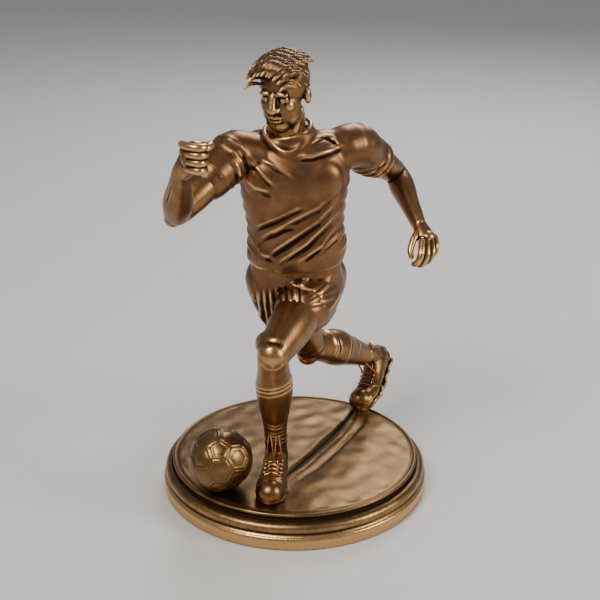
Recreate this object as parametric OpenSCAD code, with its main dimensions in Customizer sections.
// Figure trophy: a cast bronze footballer in full stride beside a ball, on a
// round moulded plinth. The figure is cast in sections that meet at the hems,
// the collar and the boot collars, where they are brazed together. Steel studs
// through the plinth hold the boots and the ball.

/* [Plinth] */
// Diameter of the plinth's foot
plinth_d = 160; // [140:1:200]
// Height of the plinth from the table to the ground surface
plinth_h = 20; // [17:0.5:26]
// Thickness of the plinth's ground plate
plate_t = 6; // [4:0.5:8]
// Thickness of the plinth's outer wall
rim_wall = 7; // [5:0.5:10]
// Height of the plain band at the plinth's foot
band_h = 8; // [5:0.5:9]
// Thickness of the felt
felt_t = 1.5; // [1:0.25:3]
// How far the felt stands below the plinth's foot
felt_proud = 0.5; // [0.25:0.25:1]

/* [Figure] */
// Height that the player would have when standing upright
stature = 308; // [250:1:370]
// Diameter of the ball
ball_d = 37.6; // [30:0.2:46]
// Thickness of the boot soles
sole_t = 2.2; // [1.5:0.1:3.5]

/* [Fixings] */
// Diameter of the boot and ball studs
stud_d = 4; // [3:0.5:5]
// Radial clearance of every stud in its hole
fit_gap = 0.05; // [0.02:0.01:0.2]
// Thickness of the washers
washer_t = 0.8; // [0.5:0.1:1.2]
// Thickness of the nuts
nut_t = 3; // [2:0.1:3.5]

/* [Hidden] */
$fn = 64;

bronze = "#9c6a3a";
steel = "#9a9da1";
felt_green = "#1f3a2a";

// The pose is laid out in millimetres for a player of this stature.
pose_stature = 308;
k = stature / pose_stature;

// Joints of the figure, from the middle of the ground surface. The player runs
// towards -Y, with the left boot planted and the right boot pushing off.
left_hip = [15, 6, 110];
left_knee = [-11.5, -57, 90];
left_ankle = [-10.8, -26, 18];
right_hip = [-13, 2, 110];
right_knee = [10.5, 30, 56];
right_ankle = [50, 77, 28];
right_shoulder = [-32.6, -18, 191];
right_elbow = [-61, -50, 168];
right_wrist = [-55, -80, 199];
left_shoulder = [33.5, -2, 192];
left_elbow = [60, 38, 165];
left_wrist = [71.3, 0, 144];
forward = [0, -1, 0];

// Where the sections meet, and the way each joint faces
waist_at = [1, -3, 124];
waist_way = unit([-0.02, -0.2, 1]);
collar_at = [-2.5, -13, 201];
collar_way = unit([-0.12, -0.42, 1]);
left_hem_at = along(left_hip, left_knee, 0.5);
left_hem_way = unit(left_knee - left_hip);
right_hem_at = along(right_hip, right_knee, 0.55);
right_hem_way = unit(right_knee - right_hip);
left_sleeve_at = along(left_shoulder, left_elbow, 0.52);
left_sleeve_way = unit(left_elbow - left_shoulder);
right_sleeve_at = along(right_shoulder, right_elbow, 0.46);
right_sleeve_way = unit(right_elbow - right_shoulder);
left_boot_at = along(left_ankle, left_knee, 0.2);
left_boot_way = unit(left_knee - left_ankle);
right_boot_at = along(right_ankle, right_knee, 0.14);
right_boot_way = unit(right_knee - right_ankle);

// Boots: sole length and the way each one points
boot_heel = 12;
boot_length = 50;
boot_drop = 18;
left_boot_ahead = unit([-0.085, -1, 0]);
left_boot_up = [0, 0, 1];
right_boot_ahead = unit([-0.31, -0.79, -0.5]);
right_boot_up = unit([-0.5, -0.32, 0.815]);
right_boot_lift = 1.56;

// Studs, from the middle of the plinth
left_stud_at = [-12.5, -38];
right_stud_at = [45, 57];
stud_in_boot = 9;
ball_flat = 0.8;
ball_at = [-42.6, -43.5];

ground = plinth_h;
plinth_r = plinth_d / 2;
cavity_top = plinth_h - plate_t;
stud_bottom = cavity_top - washer_t - nut_t - 1.2;
stud_end_play = 1;

// ---------------------------------------------------------------- functions
function unit(v) = v / norm(v);
function along(a, b, t) = a + (b - a) * t;
function blend4(a, b, c, d, t) =
    0.5 * (2 * b + (c - a) * t + (2 * a - 5 * b + 4 * c - d) * t * t
           + (3 * b - a - 3 * c + d) * t * t * t);
// A smooth run of stations, each [x, y, z, half width, half depth]
function smooth_run(s, steps) = [
    for (i = [0 : len(s) - 2])
        for (j = [0 : steps - 1])
            blend4(s[max(i - 1, 0)], s[i], s[i + 1], s[min(i + 2, len(s) - 1)], j / steps),
    s[len(s) - 1]
];
function place(s) = [s[0], s[1], s[2]];
function station(p, half_width, half_depth) = [p[0], p[1], p[2], half_width, half_depth];
function heading(run, i, first, last) =
    i == 0 && first != undef ? first :
    i == len(run) - 1 && last != undef ? last :
    unit(place(run[min(i + 1, len(run) - 1)]) - place(run[max(i - 1, 0)]));
// One ring of points, with its depth measured towards the front
function ring(c, way, front, half_width, half_depth, sides) =
    let (deep = unit(front - (front * way) * way), wide = cross(deep, way))
    [for (a = [0 : sides - 1])
        c + wide * half_width * cos(360 * a / sides) + deep * half_depth * sin(360 * a / sides)];
function side_faces(rings, sides) = [
    for (i = [0 : rings - 2])
        for (j = [0 : sides - 1])
            [(i + 1) * sides + j, (i + 1) * sides + (j + 1) % sides, i * sides + (j + 1) % sides,
             i * sides + j]
];
// A flat end, as a fan around its middle point
function cap_fan(i, sides, middle) = [
    for (j = [0 : sides - 1]) [i * sides + j, i * sides + (j + 1) % sides, middle]
];
// The stations of a rounded end, from the full section to its tip
function rounded_end(s, way, reach) = [
    for (a = [30, 58, 80]) station(place(s) + way * reach * sin(a), s[3] * cos(a), s[4] * cos(a))
];
function backwards(s) = [for (i = [len(s) - 1 : -1 : 0]) s[i]];
function flipped(faces) = [for (f = faces) backwards(f)];

// ------------------------------------------------------------------- shapes
// A closed skin lofted through the stations. first and last turn its end
// sections, and round_first and round_last give it rounded ends.
module loft(stations, front = forward, first = undef, last = undef,
            round_first = 0, round_last = 0, sides = 18, steps = 2) {
    body = smooth_run(stations, steps);
    count = len(body);
    first_way = heading(body, 0, first, last);
    last_way = heading(body, count - 1, first, last);
    run = concat(
        round_first > 0 ? backwards(rounded_end(body[0], -first_way, round_first)) : [],
        body,
        round_last > 0 ? rounded_end(body[count - 1], last_way, round_last) : []);
    lead = round_first > 0 ? 3 : 0;
    points = [
        for (i = [0 : len(run) - 1])
            let (n = min(max(i - lead, 0), count - 1))
            each ring(place(run[i]), heading(body, n, first, last), front, run[i][3], run[i][4],
                      sides)
    ];
    middles = [place(run[0]), place(run[len(run) - 1])];
    polyhedron(concat(points, middles),
               concat(side_faces(len(run), sides),
                      cap_fan(0, sides, len(points)),
                      flipped(cap_fan(len(run) - 1, sides, len(points) + 1))));
}

// One closed skin over all the forms of a cast section, with its holes
module cast_section() {
    color(bronze) resize([0, 0, 0]) children();
}

// The figure's own frame, on the ground surface
module on_ground() {
    translate([0, 0, ground]) scale(k) children();
}

// Turns +Z to point along way
module face_along(way) {
    tilt = acos(way[2] / norm(way));
    turn = atan2(way[1], way[0]);
    rotate([0, tilt, turn]) children();
}

// A boot with its ankle joint at the origin, pointing along +X, with its top
// cut off square at the height where the sock begins.
module boot_form(toe_lift) {
    loft([[-7, 0, -9, 5.6, 8.2], [-2, 0, -8.4, 7, 9], [8, 0, -9.3, 7.4, 8.2],
          [18, 0, -11.4, 8.4, 6.2], [27, 0, -12.6, 9.2, 5.2],
          [33, 0, toe_lift - 12.8, 8.6, 4.9]],
         front = [0, 0, 1], round_first = 5, round_last = 5);
    hull() {
        translate([-4.5, 0, -boot_drop]) cylinder(r = 6.4, h = sole_t, $fn = 24);
        translate([22 - 0.6 * toe_lift, 0, -boot_drop]) cylinder(r = 9, h = sole_t, $fn = 24);
        translate([boot_length - boot_heel - 8.2, 0, toe_lift - boot_drop])
            cylinder(r = 8.2, h = sole_t, $fn = 24);
    }
}

module boot_frame(ankle, ahead, up) {
    side = cross(up, ahead);
    translate(ankle)
        multmatrix([[ahead[0], side[0], up[0], 0], [ahead[1], side[1], up[1], 0],
                    [ahead[2], side[2], up[2], 0]])
            children();
}

// -------------------------------------------------------------------- parts
module plinth() {
    torus_r = (plinth_h - band_h) * 0.3;
    torus_z = band_h + torus_r;
    bead_r = 1.2;
    top_r = plinth_r - 2 * torus_r + 0.4;
    outline = concat(
        [[0, felt_t], [plinth_r - rim_wall / 2, felt_t],
         [plinth_r - rim_wall / 2, felt_proud], [plinth_r - 0.6, felt_proud],
         [plinth_r, felt_proud + 0.6], [plinth_r, band_h - 0.6], [plinth_r - 0.8, band_h]],
        [for (a = [-60 : 15 : 75])
            [plinth_r - 1 - torus_r + torus_r * cos(a), torus_z + torus_r * sin(a)]],
        [[plinth_r - 1 - torus_r - 0.6, torus_z + torus_r]],
        [for (a = [-45 : 15 : 90])
            [top_r - bead_r + bead_r * cos(a), plinth_h - bead_r + bead_r * sin(a)]],
        [[0, plinth_h]]);
    cavity_r = plinth_r - rim_wall;
    color(bronze)
        difference() {
            rotate_extrude() polygon(outline);
            translate([0, 0, -1]) cylinder(r = cavity_r - 4, h = cavity_top + 1);
            for (at = stud_places())
                translate([at[0], at[1], 0]) 
                    cylinder(d = stud_d + 2 * fit_gap, h = plinth_h + 1, $fn = 32);
        }
}

function stud_places() = [left_stud_at * k, right_stud_at * k, ball_at * k];

module felt_pad() {
    color(felt_green) cylinder(r = plinth_r - rim_wall / 2 - 0.2, h = felt_t);
}

module ball() {
    r = ball_d / 2;
    color(bronze)
        translate([ball_at[0] * k, ball_at[1] * k, ground])
            difference() {
                translate([0, 0, r - ball_flat]) sphere(d = ball_d);
                translate([0, 0, -ball_d]) cylinder(d = ball_d, h = ball_d);
                cylinder(d = stud_d + 2 * fit_gap, h = stud_in_boot + stud_end_play, $fn = 32);
            }
}

module left_boot() {
    cast_section()
        difference() {
            on_ground() {
                boot_frame(left_ankle, left_boot_ahead, left_boot_up) boot_form(0);
                loft([station(along(left_ankle, left_boot_at, -0.5), 6.2, 7.5),
                      station(along(left_ankle, left_boot_at, 0.2), 6.6, 7.2),
                      station(left_boot_at, 6.4, 6.8)], last = left_boot_way);
            }
            translate([left_stud_at[0] * k, left_stud_at[1] * k, ground - 1])
                cylinder(d = stud_d + 2 * fit_gap, h = stud_in_boot + stud_end_play + 1, $fn = 32);
        }
}

module right_boot() {
    cast_section()
        difference() {
            hull() on_ground() {
                boot_frame(right_ankle + [0, 0, right_boot_lift], right_boot_ahead, right_boot_up) boot_form(9);
                loft([station(along(right_ankle, right_boot_at, -0.9), 6.2, 7.5),
                      station(along(right_ankle, right_boot_at, 0.2), 7, 7.4),
                      station(right_boot_at, 7, 7.2)], front = [0, 0, 1], last = right_boot_way);
            }
            translate([right_stud_at[0] * k, right_stud_at[1] * k, ground - 1])
                cylinder(d = stud_d + 2 * fit_gap, h = stud_in_boot + stud_end_play + 1, $fn = 32);
        }
}

// Bare thigh and knee, then the calf in its sock
module left_leg() {
    cast_section()
        on_ground() {
            loft([station(left_hem_at, 13.2, 13.6),
                  station(along(left_hip, left_knee, 0.72), 12.2, 12.6),
                  station(along(left_hip, left_knee, 0.96), 9.8, 10.2)],
                 front = [0, 0, 1], first = left_hem_way, round_last = 8.6);
            loft([station(along(left_knee, left_ankle, 0.02), 9.4, 9.8),
                  station(along(left_knee, left_ankle, 0.16) + [0, 1.5, 0], 9.2, 9.6),
                  station(along(left_knee, left_ankle, 0.34) + [0, 2.4, 0], 10.6, 11.4),
                  station(along(left_knee, left_ankle, 0.52) + [0, 1.6, 0], 9.4, 10),
                  station(along(left_knee, left_ankle, 0.68), 7.2, 7.6),
                  station(left_boot_at, 6, 6.4)],
                 last = -left_boot_way, round_first = 7);
        }
}

module right_leg() {
    cast_section()
        on_ground() {
            loft([station(right_hem_at, 12.8, 13.2),
                  station(along(right_hip, right_knee, 0.78), 11.6, 12),
                  station(along(right_hip, right_knee, 0.97), 9.8, 10.4)],
                 first = right_hem_way, round_last = 8);
            loft([station(along(right_knee, right_ankle, 0.02), 9.6, 9.6),
                  station(along(right_knee, right_ankle, 0.2) + [0, 0, 1.5], 10, 10.4),
                  station(along(right_knee, right_ankle, 0.38) + [0, 0, 2], 10.8, 11.8),
                  station(along(right_knee, right_ankle, 0.6) + [0, 0, 1], 9, 9.6),
                  station(right_boot_at, 7, 7.4)],
                 front = [0, 0, 1], last = -right_boot_way, round_first = 7);
        }
}

// The seat and the two loose legs of the shorts
module shorts() {
    cast_section()
        hull() on_ground() {
            loft([station(waist_at, 24.5, 17.5), [1, -2, 118, 26.5, 19.5], [1, 0, 108, 28, 20.5],
                  [1, 2, 98, 25, 18]], first = -waist_way, round_last = 9, sides = 22);
            loft([station(along(left_hip, left_knee, -0.1), 14.5, 15),
                  station(along(left_hip, left_knee, 0.2), 16.5, 17),
                  station(left_hem_at, 16, 16.6)],
                 front = [0, 0, 1], last = left_hem_way, round_first = 8);
            loft([station(along(right_hip, right_knee, -0.05), 15, 15.5),
                  station(along(right_hip, right_knee, 0.25), 16.5, 17),
                  station(right_hem_at, 16, 16.6)],
                 last = right_hem_way, round_first = 8, sides = 20);
        }
}

// The shirt with its two short sleeves
module torso() {
    cast_section()
        on_ground() {
            loft([station(waist_at, 28, 20.5), [1, -6, 138, 27.2, 19.5], [0.5, -9, 152, 27.4, 19],
                  [0, -12, 167, 29, 19], [0, -13.5, 180, 30.5, 18.5], [-0.5, -13.5, 190, 28, 16],
                  [-1.5, -13, 197, 19, 13.5], station(collar_at, 12.6, 12.4)],
                 first = waist_way, last = collar_way, steps = 2, sides = 24);
            loft([[-14, -13, 186, 12, 14], station(right_shoulder + [1, 1, 0.5], 13, 13.5),
                  station(along(right_shoulder, right_elbow, 0.22), 12, 13),
                  station(right_sleeve_at, 11.4, 12)],
                 last = right_sleeve_way, round_first = 6);
            loft([[16, -9, 187, 12, 14], station(left_shoulder + [-1, -1, 0.5], 12.6, 13),
                  station(along(left_shoulder, left_elbow, 0.25), 11.6, 12.4),
                  station(left_sleeve_at, 10.6, 11.4)],
                 last = left_sleeve_way, round_first = 6);
        }
}

// Neck, face and swept hair. The head turns towards the ball.
module head() {
    cast_section()
        on_ground() {
            loft([station(collar_at, 10.4, 10.6), [-3.5, -15, 208, 10, 10.4],
                  [-4, -15.5, 216, 10, 10.4]], first = collar_way, round_last = 4);
            translate([-5, -18, 225]) rotate([0, 0, -24]) rotate([12, 0, 0]) {
                translate([0, 1.5, 5]) scale([0.8, 1, 0.93]) sphere(r = 16.2, $fn = 24);
                hull() {
                    translate([0, -4.5, -15.5]) scale([1, 0.9, 0.7]) sphere(r = 6, $fn = 16);
                    translate([0, -3, -2]) scale([1, 1.05, 1]) sphere(r = 11.6, $fn = 20);
                }
                hull() {
                    translate([0, -9, 14]) scale([1, 0.7, 0.6]) sphere(r = 10, $fn = 16);
                    translate([0, 4, 15]) scale([1, 1, 0.6]) sphere(r = 10, $fn = 16);
                }
                translate([0, -15.2, -5]) scale([0.55, 0.9, 0.8]) sphere(r = 4, $fn = 16);
                for (side = [-1, 1])
                    translate([side * 12.8, 2.5, -2]) scale([0.3, 0.65, 1]) sphere(r = 5.2, $fn = 12);
            }
        }
}

// A finger or thumb, from knuckle to tip
module finger(points, r) {
    for (i = [0 : len(points) - 2])
        hull() {
            translate(points[i]) sphere(r = r, $fn = 10);
            translate(points[i + 1]) sphere(r = r * 0.92, $fn = 10);
        }
}

module left_arm() {
    cast_section()
        on_ground() {
            loft([station(left_sleeve_at, 8.4, 9), station(along(left_shoulder, left_elbow, 0.8), 8, 8.4),
                  station(along(left_shoulder, left_elbow, 0.97), 7.4, 7.6)],
                 first = left_sleeve_way, round_last = 6.4);
            loft([station(along(left_elbow, left_wrist, 0.02), 7, 7.2),
                  station(along(left_elbow, left_wrist, 0.3), 7.4, 7.8),
                  station(along(left_elbow, left_wrist, 0.65), 5.6, 6),
                  station(left_wrist, 4.2, 4.6)],
                 front = [0, 0, 1], round_first = 6, round_last = 3);
            hull() {
                translate(left_wrist) sphere(r = 4.2, $fn = 14);
                for (at = [[79.5, -3, 139], [70.5, -10, 139.5]]) translate(at) sphere(r = 3.4, $fn = 12);
            }
            finger([[79.5, -4, 138], [79, -9, 133], [75.5, -9, 129.5]], 2.4);
            finger([[76.5, -7, 137.5], [76, -12.5, 131.5], [73, -12, 127.5]], 2.5);
            finger([[73.5, -9.5, 137.5], [73, -15, 131], [70.5, -14, 126]], 2.5);
            finger([[70.5, -11, 138], [69.5, -16.5, 132], [68, -15.5, 127.5]], 2.4);
            finger([[68.5, -6, 142], [65.5, -11, 136], [65.5, -13.5, 130.5]], 2.5);
        }
}

module right_arm() {
    cast_section()
        on_ground() {
            loft([station(right_sleeve_at, 9, 9.6), station(along(right_shoulder, right_elbow, 0.75), 8.8, 9.2),
                  station(along(right_shoulder, right_elbow, 0.97), 7.8, 8)],
                 first = right_sleeve_way, round_last = 6.6);
            loft([station(along(right_elbow, right_wrist, 0.02), 7.6, 7.8),
                  station(along(right_elbow, right_wrist, 0.32), 8, 8.4),
                  station(along(right_elbow, right_wrist, 0.7), 6, 6.4),
                  station(right_wrist, 4.8, 5.2)],
                 front = [0, 0, 1], round_first = 6, round_last = 3);
            hull() {
                translate(right_wrist + [-0.5, -1, 1]) sphere(r = 4.8, $fn = 14);
                for (at = [[-52.5, -86, 212.5], [-44, -89, 212], [-51.5, -88, 203.5], [-43.5, -90, 204.5]])
                    translate(at) sphere(r = 4, $fn = 14);
            }
            finger([[-46, -86, 214.5], [-41.5, -90.5, 214.5], [-40, -93.5, 210]], 2.3);
        }
}

// A threaded stud from the cavity up into a boot or the ball
module stud_at(at) {
    color(steel) translate([at[0] * k, at[1] * k, stud_bottom])
        cylinder(d = stud_d, h = ground - stud_bottom + stud_in_boot, $fn = 32);
}
module ball_stud() { stud_at(ball_at); }
module left_boot_stud() { stud_at(left_stud_at); }
module right_boot_stud() { stud_at(right_stud_at); }

module stud_washers() {
    color(steel)
        for (at = stud_places())
            translate([at[0], at[1], cavity_top - washer_t])
                difference() {
                    cylinder(d = stud_d * 2.2, h = washer_t, $fn = 32);
                    translate([0, 0, -1]) cylinder(d = stud_d + 2 * fit_gap, h = washer_t + 2, $fn = 32);
                }
}

module stud_nuts() {
    across_corners = stud_d * 2;
    color(steel)
        for (at = stud_places())
            translate([at[0], at[1], cavity_top - washer_t - nut_t])
                difference() {
                    cylinder(d = across_corners, h = nut_t, $fn = 6);
                    translate([0, 0, -1]) cylinder(d = stud_d + 2 * fit_gap, h = nut_t + 2, $fn = 32);
                }
}

plinth();
felt_pad();
ball();
left_boot();
right_boot();
left_leg();
right_leg();
shorts();
torso();
head();
left_arm();
right_arm();
ball_stud();
left_boot_stud();
right_boot_stud();
stud_washers();
stud_nuts();
